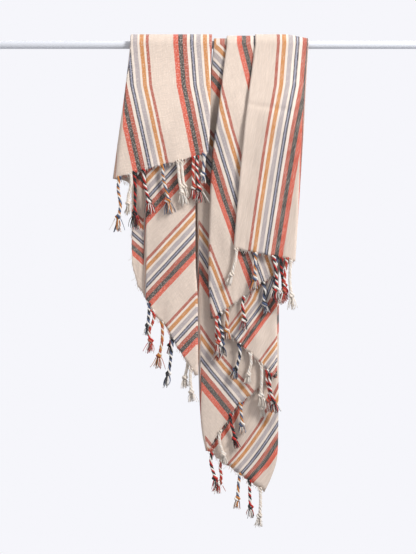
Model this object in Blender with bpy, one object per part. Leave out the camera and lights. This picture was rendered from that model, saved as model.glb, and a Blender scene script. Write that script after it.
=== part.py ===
"""A striped hammam towel hung in two pleated tails over a plain round rod.

Metres, +Z up. The rod's axis runs along X at Z = 0, with its left end face at X = 0, and the
cloth's fold lines are given in millimetres: across, to the right of the cloth's middle, and drop,
below the rod's axis. The front of the towel faces -Y.

The towel is one sheet. It rises from its first hem, goes over the rod, hangs behind it in a swag,
comes over the rod again and falls to its second hem. Across its width it is folded to and fro into
five pleats, 0 in front to 4 at the back, between six fold lines: two edges and four folds.
"""

import math

import bpy
import numpy as np

MM = 0.001

ROD_LENGTH = 1.000
ROD_RADIUS = 0.008
ROD_SIDES = 24
CLOTH_MIDDLE = 0.500

CLOTH_THICK = 0.0016
ROD_GAP = 0.0012
ROD_PITCH = 0.0027
FRONT_GAP = 0.009
BACK_GAP = 0.0045
SPREAD_DROP = 0.180
REST_REACH = 0.060

# Soft waves of the hanging cloth: depth, and radians a metre across, down and askew.
WAVE_DEPTH = 0.0016
WAVE_ACROSS, WAVE_DOWN, WAVE_ASKEW = 52.0, 7.0, 9.0
WAVE_STEP_ACROSS, WAVE_STEP_DOWN = 1.9, 2.3

STRIP_GAP = 0.0006
STRIP_WIDTH = 0.0035
LOCK_WIDTH = 0.0050
LOCK_THICK = 0.0044
LOCK_RINGS = 5
LOCK_TIP = 0.7
LOCK_SWAY_POWER = 1.5

PLEATS = 5
FOLD_CELLS = 3
TAIL_ROWS = 12
ROD_ROWS = 5
SWAG_ROWS = 14
ROW_CROWDING = 1.5

# Power with which a pleat's columns draw in towards its folds.
FOLD_DRAW = 4
# Share of the swag's way within which its depth passes from the left tail's to the right's.
SWAG_TURN = (0.3, 0.7)
# Steps, as shares, for finding directions along a line, into the cloth and along a hem.
LINE_PROBE, CLOTH_PROBE, HEM_PROBE, STRIDE_PROBE = 0.02, 0.03, 0.002, 0.05
# Closest that a lock's side comes to a pleat's edge, as a share of the pleat's width.
EDGE_SHARE = 0.004
SHARP_DEGREES = 50

# Fold lines of the left tail, from the rod down to the hem: (across mm, drop mm).
LEFT_LINES = (
    ((8, 0), (6, 30), (4, 170), (0, 222)),
    ((-154, 0), (-166, 110), (-177, 190), (-188, 270)),
    ((-10, 0), (-18, 90), (-25, 170), (-25, 240), (-24, 420), (-23, 660)),
    ((-142, 0), (-128, 170), (-118, 320), (-112, 480)),
    ((-18, 0), (-28, 100), (-36, 260), (-50, 440)),
    ((-136, 0), (-124, 170), (-108, 320), (-96, 420)),
)

# Fold lines of the right tail, from the rod down to the hem: (across mm, drop mm).
RIGHT_LINES = (
    ((94, 0), (72, 170), (50, 410)),
    ((200, 0), (189, 170), (172, 434)),
    ((38, 0), (18, 150), (8, 230), (2, 390), (2, 480), (6, 549)),
    ((150, 0), (146, 200), (138, 440), (137, 666)),
    ((12, 0), (2, 90), (-10, 170), (-21, 240), (-22, 400), (-18, 670), (-12, 770), (-4, 812)),
    ((144, 0), (142, 300), (140, 780), (137, 830), (124, 870), (112, 894)),
)

# Fold lines of the swag behind the rod, from the left tail to the right: (across mm, drop mm).
SWAG_LINES = (
    ((8, 0), (4, 150), (8, 290), (28, 350), (54, 310), (76, 180), (94, 0)),
    (
        (-154, 0), (-148, 210), (-130, 360), (-80, 450), (0, 478), (78, 450), (134, 360),
        (166, 210), (200, 0),
    ),
    ((-10, 0), (-8, 110), (0, 210), (12, 245), (24, 205), (32, 105), (38, 0)),
    ((-142, 0), (-132, 190), (-100, 310), (0, 380), (90, 320), (132, 190), (150, 0)),
    ((-18, 0), (-14, 70), (-6, 115), (-1, 125), (4, 115), (9, 70), (12, 0)),
    ((-136, 0), (-122, 130), (-86, 210), (0, 250), (80, 210), (116, 130), (144, 0)),
)

# Hems that aren't straight: (share of the pleat's width, across mm, drop mm), by pleat.
LEFT_HEMS = {
    1: (
        (0.00, -188, 270), (0.10, -156, 280), (0.22, -154, 370), (0.32, -152, 440),
        (0.40, -140, 484), (0.46, -121, 512), (0.58, -104, 544), (0.71, -82, 564),
        (0.85, -58, 606), (1.00, -23, 660),
    ),
}
RIGHT_HEMS = {
    3: ((0.00, 137, 666), (2 / 7, 98, 690), (4 / 7, 54, 727), (1.00, -4, 812)),
}

# Where each pleat holds up the ones above it on the rod: (from mm, to mm), by pleat.
LEFT_SPANS = ((-154, 8),) * PLEATS
RIGHT_SPANS = ((94, 200), (38, 200), (38, 150), (12, 150), (12, 150))

# How many even columns cross a pleat, and the columns of the pleat that has uneven ones.
EVEN_CELLS = {0: 7, 2: 6, 3: 7, 4: 6}
UNEVEN_SHARES = {1: (0.00, 0.10, 0.22, 0.32, 0.40, 0.46, 0.58, 0.71, 0.85, 1.00)}

# Shares of the left tail's pleat 1 between which its outer part steps back behind the rest.
STEP_PLEAT = 1
STEP_SHARES = (0.40, 0.46)
STEP_TOP, STEP_FULL = 0.180, 0.300
STEP_DEPTH = 0.0075

# Locks of the fringe: (pleat, share of its width, tip's sway mm, length mm), by tail.
LEFT_LOCKS = (
    (0, 0.04, -4, 58), (0, 0.11, 3, 92), (0, 0.32, 14, 90), (0, 0.47, 12, 98),
    (0, 0.68, 14, 88), (0, 0.79, 4, 112), (0, 0.835, -4, 82), (0, 0.96, -4, 108),
    (1, 0.49, -4, 62), (1, 0.54, -9, 84), (1, 0.66, -11, 92), (1, 0.79, -15, 94),
    (1, 0.96, 1, 66), (2, 0.25, 2, 70), (2, 0.60, -2, 68), (3, 0.36, 3, 60), (4, 0.58, 2, 60),
)
RIGHT_LOCKS = (
    (0, 0.05, -2, 70), (0, 0.36, -3, 72), (0, 0.66, 3, 92), (0, 0.79, 2, 74),
    (0, 0.95, 4, 96), (1, 0.16, 12, 62), (1, 0.38, 10, 60), (1, 0.61, -4, 66),
    (1, 0.83, 3, 58), (1, 0.95, 3, 72), (2, 0.07, -4, 76), (2, 0.42, -9, 70),
    (2, 0.60, -4, 60), (2, 0.77, 3, 88), (2, 0.93, 10, 78), (3, 0.21, 4, 62),
    (3, 0.50, 5, 60), (3, 0.64, 12, 68), (3, 0.80, 6, 68), (4, 0.08, 6, 72),
    (4, 0.26, -9, 66), (4, 0.58, -10, 70), (4, 0.75, 3, 74), (4, 0.93, -2, 78),
)


def smooth(value):
    """An even step from 0 to 1 as the value goes from 0 to 1."""
    value = min(max(value, 0.0), 1.0)
    return value * value * (3.0 - 2.0 * value)


def mix(low, high, share):
    """The value this share of the way from low to high."""
    return low + (high - low) * share


def curve_point(rows, share):
    """The point at a share of the length of a smooth curve through the rows, in metres."""
    points = np.array(rows, float) * MM
    steps = np.linalg.norm(np.diff(points, axis=0), axis=1)
    reached = np.concatenate([[0.0], np.cumsum(steps)])
    place = min(max(share, 0.0), 1.0) * reached[-1]
    first = min(int(np.searchsorted(reached, place, side="right")) - 1, len(steps) - 1)
    part = (place - reached[first]) / steps[first]
    here, there = points[first], points[first + 1]
    before = points[first - 1] if first else 2 * here - there
    after = points[first + 2] if first + 2 < len(points) else 2 * there - here
    lead_in = (there - before) * steps[first] / (steps[first] + np.linalg.norm(here - before))
    lead_out = (after - here) * steps[first] / (steps[first] + np.linalg.norm(after - there))
    cube = part**3
    square = part**2
    return (
        (2 * cube - 3 * square + 1) * here
        + (cube - 2 * square + part) * lead_in
        + (3 * square - 2 * cube) * there
        + (cube - square) * lead_out
    )


def hem_point(hems, lines, pleat, share):
    """A point of a pleat's hem."""
    if pleat not in hems:
        return mix(curve_point(lines[pleat], 1.0), curve_point(lines[pleat + 1], 1.0), share)
    rows = np.array(hems[pleat], float)
    return np.array([np.interp(share, rows[:, 0], rows[:, axis]) for axis in (1, 2)]) * MM


class Tail:
    """One tail of the towel, which hangs in front of the rod."""

    def __init__(self, lines, hems, spans, step=False):
        self.lines = lines
        self.hems = hems
        self.spans = spans
        self.step = step

    def level(self, pleat, across):
        """How many pleats lie under this one on the rod, at this place along it."""
        under = 0.0
        for low, high in self.spans[pleat + 1 :]:
            outside = max(low * MM - across, across - high * MM, 0.0)
            under += 1.0 - smooth(outside / REST_REACH)
        return under

    def depth(self, pleat, across, drop, gap):
        """Distance of a pleat's middle from the upright plane through the rod's axis."""
        spread = smooth(drop / SPREAD_DROP)
        level = mix(self.level(pleat, across), PLEATS - 1.0 - pleat, spread)
        base = ROD_RADIUS + ROD_GAP + CLOTH_THICK / 2
        return base + level * mix(ROD_PITCH, gap, spread)

    def place(self, pleat, share, fall):
        """Across and drop of a point of a pleat, fall going from 0 at the rod to 1 at the hem."""
        left, right = (curve_point(self.lines[pleat + side], fall) for side in (0, 1))
        flat = mix(left, right, share)
        ends = [curve_point(self.lines[pleat + side], 1.0) for side in (0, 1)]
        sag = hem_point(self.hems, self.lines, pleat, share) - mix(*ends, share)
        return flat + sag * fall

    def relief(self, pleat, share, across, drop):
        """Soft unevenness of a pleat, and the step of the left tail's second pleat."""
        hang = smooth(drop / SPREAD_DROP)
        sideways = math.sin(across * WAVE_ACROSS + pleat * WAVE_STEP_ACROSS)
        downways = math.sin(drop * WAVE_DOWN + pleat * WAVE_STEP_DOWN + across * WAVE_ASKEW)
        out = sideways * downways * WAVE_DEPTH * hang
        if self.step and pleat == STEP_PLEAT:
            low, high = STEP_SHARES
            back = 1.0 - smooth((share - low) / (high - low))
            out -= back * STEP_DEPTH * smooth((drop - STEP_TOP) / (STEP_FULL - STEP_TOP))
        return out


LEFT = Tail(LEFT_LINES, LEFT_HEMS, LEFT_SPANS, step=True)
RIGHT = Tail(RIGHT_LINES, RIGHT_HEMS, RIGHT_SPANS)


def swag_place(pleat, share, way):
    """Across and drop of a point of the swag, way going from 0 at the left to 1 at the right."""
    return mix(curve_point(SWAG_LINES[pleat], way), curve_point(SWAG_LINES[pleat + 1], way), share)


def pleat_point(stage, pleat, share, part):
    """A point of the sheet's middle: (across, distance out, drop), by stage of its way."""
    if stage in ("left", "right"):
        tail = LEFT if stage == "left" else RIGHT
        across, drop = tail.place(pleat, share, part)
        depth = tail.depth(pleat, across, drop, FRONT_GAP)
        return across, depth + tail.relief(pleat, share, across, drop), drop
    across, drop = swag_place(pleat, share, part)
    low, high = SWAG_TURN
    depths = [tail.depth(pleat, across, drop, BACK_GAP) for tail in (LEFT, RIGHT)]
    return across, mix(*depths, smooth((part - low) / (high - low))), drop


def outward(stage, fold, part):
    """Unit direction (across, drop) in which a fold bulges, square to its line."""
    lines = {"left": LEFT_LINES, "right": RIGHT_LINES, "swag": SWAG_LINES}[stage]
    ahead = curve_point(lines[fold], min(part + LINE_PROBE, 1.0))
    behind = curve_point(lines[fold], max(part - LINE_PROBE, 0.0))
    along = (ahead - behind) / np.linalg.norm(ahead - behind)
    turn = 1.0 if fold % 2 else -1.0
    if stage != "right":
        turn = -turn
    return np.array([along[1], -along[0]]) * turn


def column_point(stage, column, part):
    """(across, out, drop) of a column: ("pleat", number, share) or ("fold", number, share)."""
    kind, number, share = column
    if kind == "pleat":
        across, out, drop = pleat_point(stage, number, share, part)
        for fold, near in ((number, 1.0 - share), (number + 1, share)):
            if 1 <= fold <= PLEATS - 1:
                inset = half_gap(stage, fold, part) * near**FOLD_DRAW
                across, drop = np.array([across, drop]) - outward(stage, fold, part) * inset
        return across, out, drop
    fronts = pleat_point(stage, number - 1, 1.0, part)
    backs = pleat_point(stage, number, 0.0, part)
    half = (fronts[1] - backs[1]) / 2
    turn = math.pi * share
    place = np.array([(fronts[0] + backs[0]) / 2, (fronts[2] + backs[2]) / 2])
    place = place + outward(stage, number, part) * (half * math.sin(turn) - half)
    return place[0], (fronts[1] + backs[1]) / 2 + half * math.cos(turn), place[1]


def half_gap(stage, fold, part):
    """Half the room between the two pleats that meet in a fold."""
    front = pleat_point(stage, fold - 1, 1.0, part)[1]
    back = pleat_point(stage, fold, 0.0, part)[1]
    return (front - back) / 2


def pleat_shares(pleat):
    """Where the columns of a pleat lie across it."""
    if pleat in UNEVEN_SHARES:
        return UNEVEN_SHARES[pleat]
    return [step / EVEN_CELLS[pleat] for step in range(EVEN_CELLS[pleat] + 1)]


def sheet_columns():
    """Every column of the sheet, across all pleats and folds."""
    columns = []
    for pleat in range(PLEATS):
        columns += [("pleat", pleat, share) for share in pleat_shares(pleat)]
        if pleat < PLEATS - 1:
            columns += [("fold", pleat + 1, step / FOLD_CELLS) for step in range(1, FOLD_CELLS)]
    return columns


def hanging(across, out, drop, front):
    """A point of the cloth in front of the rod or behind it, in the world."""
    return np.array([CLOTH_MIDDLE + across, -out if front else out, -drop])


def sheet_rows(column):
    """The points of one column, from the first hem to the second, closer together near the rod."""
    falls = [(step / TAIL_ROWS) ** ROW_CROWDING for step in range(1, TAIL_ROWS + 1)]
    ways = [mix(step / SWAG_ROWS, smooth(step / SWAG_ROWS), 0.5) for step in range(1, SWAG_ROWS)]
    points = [hanging(*column_point("left", column, fall), True) for fall in reversed(falls)]
    points += over_rod("left", column, False)
    points += [hanging(*column_point("swag", column, way), False) for way in ways]
    points += over_rod("right", column, True)
    points += [hanging(*column_point("right", column, fall), True) for fall in falls]
    return points


def over_rod(stage, column, to_front):
    """The points of one column on its way over the rod."""
    across, out, _ = column_point(stage, column, 0.0)
    turns = [math.pi * step / ROD_ROWS for step in range(ROD_ROWS + 1)]
    if to_front:
        turns.reverse()
    return [
        np.array([CLOTH_MIDDLE + across, -out * math.cos(turn), out * math.sin(turn)])
        for turn in turns
    ]


def grid_normals(grid):
    """Unit normals of a grid of points, from its neighbours."""
    down = np.gradient(grid, axis=0)
    over = np.gradient(grid, axis=1)
    normals = np.cross(over, down)
    return normals / np.linalg.norm(normals, axis=2, keepdims=True)


def closed_sheet(grid, thick):
    """Points and faces of a sheet of this thickness whose middle is the grid."""
    rows, columns = grid.shape[:2]
    shift = grid_normals(grid) * thick / 2
    points = np.concatenate([(grid + shift).reshape(-1, 3), (grid - shift).reshape(-1, 3)])
    back = rows * columns
    faces = []
    for row in range(rows - 1):
        for column in range(columns - 1):
            corner = row * columns + column
            quad = (corner, corner + 1, corner + columns + 1, corner + columns)
            faces.append(quad)
            faces.append(tuple(back + point for point in reversed(quad)))
    rim = list(range(columns))
    rim += [row * columns + columns - 1 for row in range(1, rows)]
    rim += [(rows - 1) * columns + column for column in range(columns - 2, -1, -1)]
    rim += [row * columns for row in range(rows - 2, 0, -1)]
    for here, there in zip(rim, rim[1:] + rim[:1]):
        faces.append((there, here, back + here, back + there))
    return points, faces


def painted(name, colour, roughness):
    """A plain material of one colour."""
    material = bpy.data.materials.new(name)
    material.use_nodes = True
    shader = material.node_tree.nodes["Principled BSDF"]
    shader.inputs["Base Color"].default_value = (*colour, 1.0)
    shader.inputs["Roughness"].default_value = roughness
    return material


def add_solid(name, points, faces, material):
    """Makes a named object, shaded smooth but for its sharp edges."""
    mesh = bpy.data.meshes.new(name)
    mesh.from_pydata([tuple(point) for point in points], [], faces)
    mesh.materials.append(material)
    mesh.shade_smooth()
    mesh.set_sharp_from_angle(angle=math.radians(SHARP_DEGREES))
    solid = bpy.data.objects.new(name, mesh)
    bpy.context.scene.collection.objects.link(solid)
    return solid


def make_rod():
    """The round rod, closed by a flat face at each end."""
    points = []
    for end in (0.0, ROD_LENGTH):
        for side in range(ROD_SIDES):
            turn = 2 * math.pi * side / ROD_SIDES
            points.append((end, ROD_RADIUS * math.cos(turn), ROD_RADIUS * math.sin(turn)))
    faces = [tuple(reversed(range(ROD_SIDES))), tuple(range(ROD_SIDES, 2 * ROD_SIDES))]
    for side in range(ROD_SIDES):
        other = (side + 1) % ROD_SIDES
        faces.append((side, other, ROD_SIDES + other, ROD_SIDES + side))
    return add_solid("rod", points, faces, painted("rod_paint", (0.82, 0.83, 0.85), 0.35))


def make_towel():
    """The sheet of the towel, in all its folds."""
    grid = np.array([sheet_rows(column) for column in sheet_columns()]).transpose(1, 0, 2)
    points, faces = closed_sheet(grid, CLOTH_THICK)
    return add_solid("towel", points, faces, painted("towel_cotton", (0.73, 0.62, 0.52), 0.9))


def fringe_columns(locks):
    """The strip's columns, with two close ones at each lock, and the place of each lock's first."""
    columns, roots = [], {}
    for pleat in range(PLEATS):
        marks = [(lock[1], number) for number, lock in enumerate(locks) if lock[0] == pleat]
        marks += [(share, None) for share in pleat_shares(pleat)]
        for share, number in sorted(marks, key=lambda mark: mark[0]):
            if number is None:
                columns.append(("pleat", pleat, share, 0.0))
                continue
            roots[number] = len(columns)
            columns.append(("pleat", pleat, share, -LOCK_WIDTH / 2))
            columns.append(("pleat", pleat, share, LOCK_WIDTH / 2))
        if pleat < PLEATS - 1:
            for step in range(1, FOLD_CELLS):
                columns.append(("fold", pleat + 1, step / FOLD_CELLS, 0.0))
    return columns, roots


def hem_chord(stage, pleat, share):
    """A point of the sheet's own hem between its columns, and the hem's direction there."""
    shares = pleat_shares(pleat)
    place = min(max(int(np.searchsorted(shares, share, side="right")) - 1, 0), len(shares) - 2)
    low, high = shares[place], shares[place + 1]
    near, far = (np.array(column_point(stage, ("pleat", pleat, end), 1.0)) for end in (low, high))
    return mix(near, far, (share - low) / (high - low)), (far - near) / np.linalg.norm(far - near)


def past_hem(stage, kind, number, share):
    """A point of the hem, and the direction square to the hem that leads away from the cloth."""
    hem = np.array(column_point(stage, (kind, number, share), 1.0))
    inner = np.array(column_point(stage, (kind, number, share), 1.0 - CLOTH_PROBE))
    away = (hem - inner) / np.linalg.norm(hem - inner)
    if kind == "pleat" and 0.0 < share < 1.0:
        hem, along = hem_chord(stage, number, share)
        along = along + hem_chord(stage, number, share - HEM_PROBE)[1]
        along /= np.linalg.norm(along)
        away = away - along * (away @ along)
        away /= np.linalg.norm(away)
    return hem, away


def strip_line(stage, column, past):
    """A point this far past the hem, in the world, moved along the hem by the column's shift."""
    kind, number, share, shift = column
    if shift:
        probes = (0.5 - STRIDE_PROBE, 0.5 + STRIDE_PROBE)
        ends = [np.array(column_point(stage, (kind, number, end), 1.0)) for end in probes]
        stride = np.linalg.norm(ends[1] - ends[0]) / (2 * STRIDE_PROBE)
        share = min(max(share + shift / stride, EDGE_SHARE), 1.0 - EDGE_SHARE)
    hem, away = past_hem(stage, kind, number, share)
    return hanging(*(hem + away * past), True)


def make_fringe(name, stage, locks):
    """A narrow strip just below a hem, and the locks that hang from it."""
    columns, roots = fringe_columns(locks)
    rows = (STRIP_GAP, STRIP_GAP + STRIP_WIDTH)
    grid = np.array([[strip_line(stage, column, past) for column in columns] for past in rows])
    if stage == "left":
        grid = grid[:, ::-1]
    points, faces = closed_sheet(grid, CLOTH_THICK)
    points = [tuple(point) for point in points]
    width = len(columns)
    back = 2 * width
    for number, (_, _, sway, length) in enumerate(locks):
        first = width - 2 - roots[number] if stage == "left" else roots[number]
        low, high = width + first, width + first + 1
        ring = (low, high, back + high, back + low)
        faces.remove(ring)
        faces += lock_faces(points, ring, sway * MM, length * MM)
    return add_solid(name, points, faces, painted(name + "_cotton", (0.78, 0.68, 0.60), 0.95))


def lock_faces(points, ring, sway, length):
    """Faces of one four-sided lock that hangs from a ring of four points."""
    root = np.mean([points[index] for index in ring], axis=0)
    signs = [np.sign(np.array(points[index]) - root) for index in ring]
    wide = math.copysign(1.0, points[ring[0]][0] - points[ring[1]][0])
    near, far = signs[0][1], signs[2][1]
    corners = ((wide, near), (-wide, near), (-wide, far), (wide, far))
    faces = []
    for step in range(1, LOCK_RINGS + 1):
        fall = step / LOCK_RINGS
        middle = root + np.array([sway * fall**LOCK_SWAY_POWER, 0.0, -length * fall])
        swell = 1.0 if step < LOCK_RINGS else LOCK_TIP
        half_wide, half_thick = LOCK_WIDTH * swell / 2, LOCK_THICK * swell / 2
        fresh = []
        for side, depth in corners:
            fresh.append(len(points))
            points.append(tuple(middle + np.array([side * half_wide, depth * half_thick, 0.0])))
        for side in range(4):
            other = (side + 1) % 4
            faces.append((ring[side], ring[other], fresh[other], fresh[side]))
        ring = tuple(fresh)
    faces.append(ring)
    return faces


def clear_scene():
    """Removes every object of the opening scene."""
    for old in list(bpy.data.objects):
        bpy.data.objects.remove(old, do_unlink=True)


def main():
    """Makes the four solids."""
    clear_scene()
    make_rod()
    make_towel()
    make_fringe("fringe_left", "left", LEFT_LOCKS)
    make_fringe("fringe_right", "right", RIGHT_LOCKS)


main()
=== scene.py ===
"""Looks of a striped hammam towel that hangs in two pleated tails over a plain white rod.

Everything is in metres, in the frame of the solids: the rod's axis runs along X at Z = 0 and the
front of the towel faces -Y. The cloth's fold lines are given in millimetres: across, to the right
of the cloth's middle, and drop, below the rod's axis. A stripe's place is its phase: how many
repeats of the stripe pattern lie between it and the towel's first edge.
"""

import logging
import math
from dataclasses import dataclass, field
from enum import Enum

import bpy
import numpy as np
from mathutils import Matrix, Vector


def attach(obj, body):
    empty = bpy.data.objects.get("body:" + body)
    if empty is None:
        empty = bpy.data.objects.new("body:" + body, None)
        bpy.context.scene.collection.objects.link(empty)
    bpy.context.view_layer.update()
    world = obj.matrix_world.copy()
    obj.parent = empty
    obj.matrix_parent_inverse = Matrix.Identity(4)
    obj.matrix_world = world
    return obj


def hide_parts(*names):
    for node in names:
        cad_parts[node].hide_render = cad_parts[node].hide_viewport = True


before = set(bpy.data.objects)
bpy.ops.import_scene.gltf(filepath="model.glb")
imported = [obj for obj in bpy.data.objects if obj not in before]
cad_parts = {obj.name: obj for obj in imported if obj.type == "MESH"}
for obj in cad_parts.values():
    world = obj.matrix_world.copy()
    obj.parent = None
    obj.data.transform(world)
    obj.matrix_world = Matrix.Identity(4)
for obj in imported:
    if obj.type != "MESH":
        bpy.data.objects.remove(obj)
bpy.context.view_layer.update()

LOG = logging.getLogger("towel")
MM = 0.001

ROD_RADIUS = 0.008
CLOTH_MIDDLE = 0.500
PLEATS = 5
# The pleat of the left tail whose outer part is set back.
STEP_PLEAT = 1
# Width of one repeat of the stripes on the flat cloth.
STRIPE_REPEAT = 0.125

Rows = tuple[tuple[float, ...], ...]
Values = np.ndarray | float
Points = tuple[np.ndarray, np.ndarray, np.ndarray]


def smooth(value: Values) -> Values:
    """An even step from 0 to 1 as the value goes from 0 to 1."""
    value = np.clip(value, 0.0, 1.0)
    return value * value * (3.0 - 2.0 * value)


def mix(low: Values, high: Values, share: Values) -> Values:
    """The value this share of the way from low to high."""
    return low + (high - low) * share


def unit(vectors: np.ndarray) -> np.ndarray:
    """The same directions, each one unit long."""
    return vectors / np.linalg.norm(vectors, axis=-1, keepdims=True)


@dataclass
class FoldLine:
    """A smooth line through a few (across mm, drop mm) rows, read by share of its length.

    It is worked out once, at this many samples. Its heading is taken between two points of it
    that lie a probe's share of its length before and behind.
    """

    rows: Rows
    samples: int = 480
    probe: float = 0.02
    shares: np.ndarray = field(init=False)
    line: np.ndarray = field(init=False)

    def __post_init__(self) -> None:
        """Works out the line's points once."""
        points = np.array(self.rows, float) * MM
        steps = np.linalg.norm(np.diff(points, axis=0), axis=1)
        reached = np.concatenate([[0.0], np.cumsum(steps)])
        self.shares = np.linspace(0.0, 1.0, self.samples)
        self.line = np.array([self._point(points, steps, reached, share) for share in self.shares])

    @staticmethod
    def _point(
        points: np.ndarray, steps: np.ndarray, reached: np.ndarray, share: float
    ) -> np.ndarray:
        """One point of the line.

        Args:
            points: the rows in metres.
            steps: the length between each row and the next.
            reached: the length from the start to each row.
            share: how far along the line, from 0 to 1.

        Returns:
            The point's across and drop.
        """
        place = share * reached[-1]
        first = min(int(np.searchsorted(reached, place, side="right")) - 1, len(steps) - 1)
        part = (place - reached[first]) / steps[first]
        here, there = points[first], points[first + 1]
        before = points[first - 1] if first else 2 * here - there
        after = points[first + 2] if first + 2 < len(points) else 2 * there - here
        lead_in = (there - before) * steps[first] / (steps[first] + np.linalg.norm(here - before))
        lead_out = (after - here) * steps[first] / (steps[first] + np.linalg.norm(after - there))
        cube, square = part**3, part**2
        return (
            (2 * cube - 3 * square + 1) * here
            + (cube - 2 * square + part) * lead_in
            + (3 * square - 2 * cube) * there
            + (cube - square) * lead_out
        )

    def at(self, share: Values) -> np.ndarray:
        """Across and drop at each share of the line's length."""
        share = np.asarray(share, float)
        return np.stack([np.interp(share, self.shares, self.line[:, axis]) for axis in (0, 1)], -1)

    def heading(self, share: Values) -> np.ndarray:
        """Unit direction of the line at each share."""
        ahead = self.at(np.minimum(share + self.probe, 1.0))
        return unit(ahead - self.at(np.maximum(share - self.probe, 0.0)))


@dataclass
class StripeLay:
    """Where the stripes run on one pleat: rows of (drop, across, phase, across, phase)."""

    rows: Rows

    def phase(self, across: np.ndarray, drop: np.ndarray) -> np.ndarray:
        """The stripe phase at each point, with the rows carried on past their ends.

        Args:
            across: metres to the right of the cloth's middle.
            drop: metres below the rod's axis.

        Returns:
            The phase, in repeats of the stripe pattern.
        """
        rows = np.array(self.rows, float)
        drops = rows[:, 0] * MM
        slopes = (rows[:, 4] - rows[:, 2]) / ((rows[:, 3] - rows[:, 1]) * MM)
        at_middle = rows[:, 2] - rows[:, 1] * MM * slopes
        first = np.clip(np.searchsorted(drops, drop, side="right") - 1, 0, len(drops) - 2)
        part = (drop - drops[first]) / (drops[first + 1] - drops[first])
        slope = mix(slopes[first], slopes[first + 1], part)
        return mix(at_middle[first], at_middle[first + 1], part) + across * slope


@dataclass
class Crease:
    """A soft ridge, or a trough where the height is negative, along a straight line of a pleat.

    All sizes are in millimetres. The crease fades towards its ends, along a half turn of a sine
    from which the end fade's share is cut at both ends.
    """

    pleat: int
    start: tuple[float, float]
    end: tuple[float, float]
    width: float
    height: float
    end_fade: float = 0.12

    def rise(self, across: np.ndarray, drop: np.ndarray) -> np.ndarray:
        """How far the crease lifts each point out of the cloth.

        Args:
            across: metres to the right of the cloth's middle.
            drop: metres below the rod's axis.

        Returns:
            The lift in metres.
        """
        start, end = np.array(self.start) * MM, np.array(self.end) * MM
        reach = end - start
        size = reach @ reach
        part = ((across - start[0]) * reach[0] + (drop - start[1]) * reach[1]) / size
        held = np.clip(part, 0.0, 1.0)
        away = np.hypot(across - start[0] - held * reach[0], drop - start[1] - held * reach[1])
        fade = np.sin(np.pi * mix(self.end_fade, 1.0 - self.end_fade, held))
        return self.height * MM * fade * np.exp(-((away / (self.width * MM)) ** 2))


@dataclass(frozen=True)
class Ripple:
    """One wave over the cloth: radians a metre across and down, and radians a pleat."""

    across: float
    down: float
    pleat: float

    def at(self, across: np.ndarray, drop: np.ndarray, pleat: int) -> np.ndarray:
        """The wave's height at each point, from -1 to 1."""
        return np.sin(across * self.across + drop * self.down + pleat * self.pleat)


# Soft waves of the hanging cloth, and its fine rumples: two waves each, one times the other.
SOFT_WAVES = (Ripple(52, 0, 1.9), Ripple(9, 7, 2.3))
FINE_RUMPLES = (Ripple(31, 47, 1), Ripple(113, -19, 4))
# Waves along a curled hem: height, radians over the pleat's width, radians a pleat.
HEM_CURLS = ((1.0, 23, 2.1), (0.6, 61, 1.0))


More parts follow.
